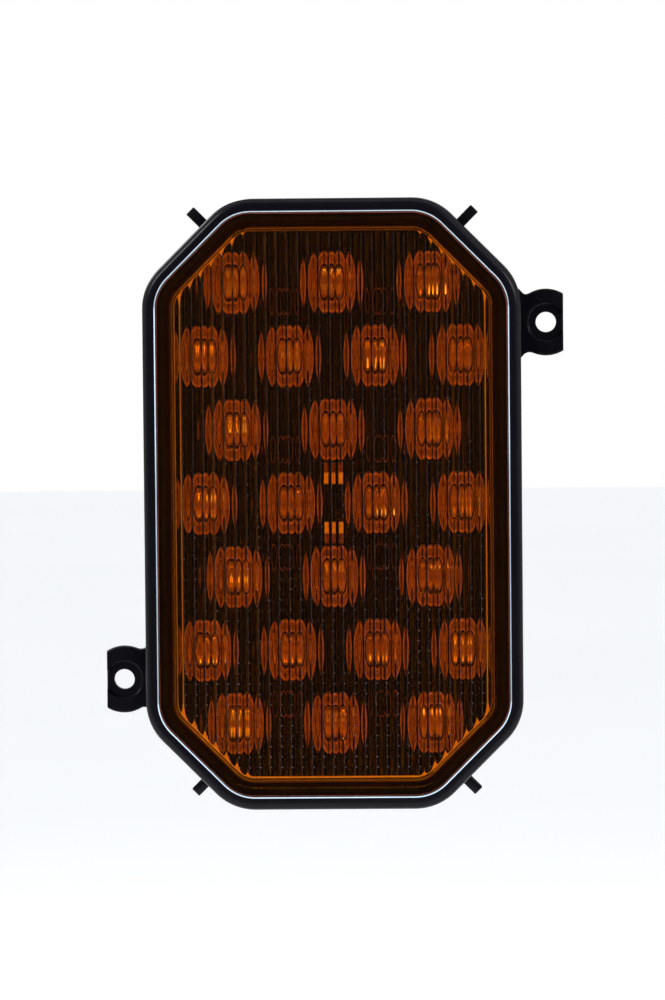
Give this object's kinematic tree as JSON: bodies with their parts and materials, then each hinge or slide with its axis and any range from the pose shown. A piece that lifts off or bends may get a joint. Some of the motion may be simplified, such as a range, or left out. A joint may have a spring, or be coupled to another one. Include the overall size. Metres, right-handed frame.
{
  "type": "vehicle signal lamp module",
  "caption": "Sealed amber LED signal lamp: tall cut-corner black housing, fluted amber lens over round optics, two diagonal screw ears, small locating tabs, rear connector.",
  "frame": {"origin": "midway between the two ear screw holes, in the mounting plane at the back of the ears", "axes": "+Z along the lamp's long dimension, +X to the right seen from the front, -Y the way the lamp shines, +Y into the vehicle body"},
  "size_m": [0.1244, 0.0518, 0.164],
  "materials": {
    "housing_black": "satin black moulded polycarbonate, fine grain, rounded edges",
    "lens_amber": "clear amber polycarbonate, polished outside, vertical flutes inside",
    "sealant": "cured dark grey adhesive bead",
    "baffle_dark": "matt black moulded plastic with round moulding marks",
    "optic_clear": "clear moulded collimator, looks amber behind the lens",
    "led_yellow": "amber LED package with a silicone dome",
    "led_board_white": "white solder mask",
    "thermal_film": "soft grey thermal film",
    "spreader_metal": "rolled aluminium plate",
    "screw_steel": "zinc plated steel",
    "link_gold": "gold plated pins in a strip",
    "board_green": "green solder mask",
    "chip_black": "black epoxy package",
    "ferrite_grey": "shielded ferrite block",
    "can_metal": "aluminium can",
    "connector_black": "matt black glass-filled plastic",
    "terminal_brass": "tinned brass blades",
    "seal_rubber": "soft black seal",
    "membrane_white": "white breathable membrane"
  },
  "bodies": {
    "root": {"housing": "housing_black", "lens": "lens_amber", "lens_bond": "sealant", "baffle": "baffle_dark", "optic_01": "optic_clear", "optic_02": "optic_clear", "optic_03": "optic_clear", "optic_04": "optic_clear", "optic_05": "optic_clear", "optic_06": "optic_clear", "optic_07": "optic_clear", "optic_08": "optic_clear", "optic_09": "optic_clear", "optic_10": "optic_clear", "optic_11": "optic_clear", "optic_12": "optic_clear", "optic_13": "optic_clear", "optic_14": "optic_clear", "optic_15": "optic_clear", "optic_16": "optic_clear", "optic_17": "optic_clear", "optic_18": "optic_clear", "optic_19": "optic_clear", "optic_20": "optic_clear", "optic_21": "optic_clear", "optic_22": "optic_clear", "optic_23": "optic_clear", "optic_24": "optic_clear", "led_row_1": "led_yellow", "led_row_2": "led_yellow", "led_row_3": "led_yellow", "led_row_4": "led_yellow", "led_row_5": "led_yellow", "led_row_6": "led_yellow", "led_row_7": "led_yellow", "led_board": "led_board_white", "thermal_pad": "thermal_film", "heat_spreader": "spreader_metal", "board_screws": "screw_steel", "board_link": "link_gold", "driver_board": "board_green", "driver_chip": "chip_black", "power_inductor": "ferrite_grey", "filter_capacitors": "can_metal", "surge_diode": "chip_black", "driver_screws": "screw_steel", "connector_header": "connector_black", "connector_terminals": "terminal_brass", "connector_seal": "seal_rubber", "header_screws": "screw_steel", "vent_membrane": "membrane_white", "vent_cap": "connector_black", "upper_clip": "optic_clear", "lower_clip": "optic_clear"}
  },
  "joints": []
}
